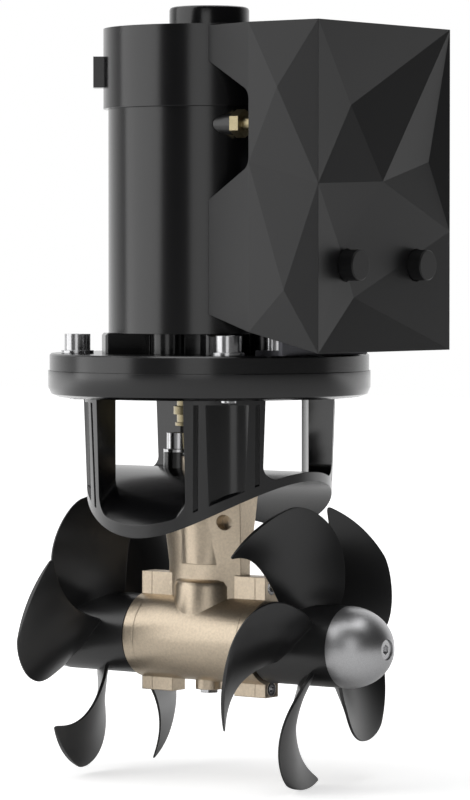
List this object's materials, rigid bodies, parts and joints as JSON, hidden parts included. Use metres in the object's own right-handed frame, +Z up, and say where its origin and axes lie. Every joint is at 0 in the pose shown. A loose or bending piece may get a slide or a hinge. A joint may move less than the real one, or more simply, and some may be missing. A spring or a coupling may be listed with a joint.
{
  "type": "bow thruster",
  "caption": "Electric tunnel bow thruster: upright DC motor with faceted control cover on a windowed bracket, over a bronze gear leg driving two counter-facing propellers.",
  "frame": {"origin": "where the propeller shaft axis crosses the motor axis, which is the centre of the tunnel", "axes": "+Z up the motor axis; +X along the propeller shaft and the tunnel, towards the electronics cover; +Y completes the right-handed frame"},
  "size_m": [0.271, 0.1982, 0.4753],
  "materials": {
    "black_enamel": "satin black enamel",
    "cover_plastic": "fine-textured black plastic",
    "black_plastic": "smooth black composite",
    "bright_steel": "bright stainless steel",
    "dark_steel": "dark steel",
    "bronze": "cast bronze, sand-cast skin",
    "brass": "turned brass",
    "yellow_zinc": "yellow zinc-plated steel",
    "zinc": "turned zinc anode, satin",
    "copper": "copper",
    "carbon": "carbon",
    "rubber": "black rubber"
  },
  "bodies": {
    "housing": {"bracket_casting": "black_enamel", "flange_washers": "bright_steel", "flange_screws": "bright_steel", "saddle_washers": "bright_steel", "saddle_screws": "bright_steel", "motor_flange": "black_enamel", "drive_end_bell": "black_enamel", "motor_tube": "black_enamel", "brush_cover_band": "black_enamel", "commutator_end_bell": "black_enamel", "bearing_cap": "black_enamel", "field_magnets": "dark_steel", "brushes": "carbon", "brush_holder": "black_plastic", "upper_motor_bearing": "bright_steel", "lower_motor_bearing": "bright_steel", "terminal_studs": "brass", "terminal_bushes": "black_plastic", "terminal_nuts": "brass", "gear_leg": "bronze", "end_cap_far": "bronze", "end_cap_near": "bronze", "end_cap_screws": "bright_steel", "drain_plug": "bright_steel", "pinion_bearing": "bright_steel", "upper_shaft_bearing": "bright_steel", "upper_shaft_seal": "rubber", "shaft_bearing_far": "bright_steel", "shaft_seal_far": "rubber", "shaft_bearing_near": "bright_steel", "shaft_seal_near": "rubber", "contactor_bracket": "dark_steel", "bracket_screws": "bright_steel", "contactor": "black_plastic", "contactor_studs": "brass", "electronics_cover": "cover_plastic", "cover_studs": "bright_steel"},
    "drive_line": {"motor_shaft": "bright_steel", "armature_core": "dark_steel", "commutator": "copper", "coupling_upper_hub": "yellow_zinc", "coupling_disc": "yellow_zinc", "coupling_lower_hub": "yellow_zinc", "drive_shaft": "bright_steel", "pinion_gear": "dark_steel"},
    "propeller_line": {"propeller_shaft": "bright_steel", "crown_gear": "dark_steel", "thrust_washers": "black_plastic", "drive_pins": "bright_steel", "propeller_near": "black_plastic", "propeller_far": "black_plastic", "shaft_nuts": "bright_steel", "anode_far": "zinc", "anode_near": "zinc", "anode_screws": "bright_steel"},
    "left_knob": {"cover_knob_left": "cover_plastic"},
    "right_knob": {"cover_knob_right": "cover_plastic"}
  },
  "joints": [
    {"name": "drive_spin", "type": "hinge", "parent": "housing", "child": "drive_line", "pos_m": [0, 0, 0.2], "axis": [0, 0, 1], "continuous": true},
    {"name": "propeller_spin", "type": "hinge", "parent": "housing", "child": "propeller_line", "pos_m": [0, 0, 0], "axis": [1, 0, 0], "continuous": true},
    {"name": "left_knob_turn", "type": "hinge", "parent": "housing", "child": "left_knob", "pos_m": [0.132, -0.0354, 0.2295], "axis": [1, 0, 0], "continuous": true},
    {"name": "right_knob_turn", "type": "hinge", "parent": "housing", "child": "right_knob", "pos_m": [0.132, 0.0354, 0.2295], "axis": [1, 0, 0], "continuous": true}
  ],
  "couplings": [
    {"joint": "propeller_spin", "follows": "drive_spin", "ratio": -0.51852}
  ]
}
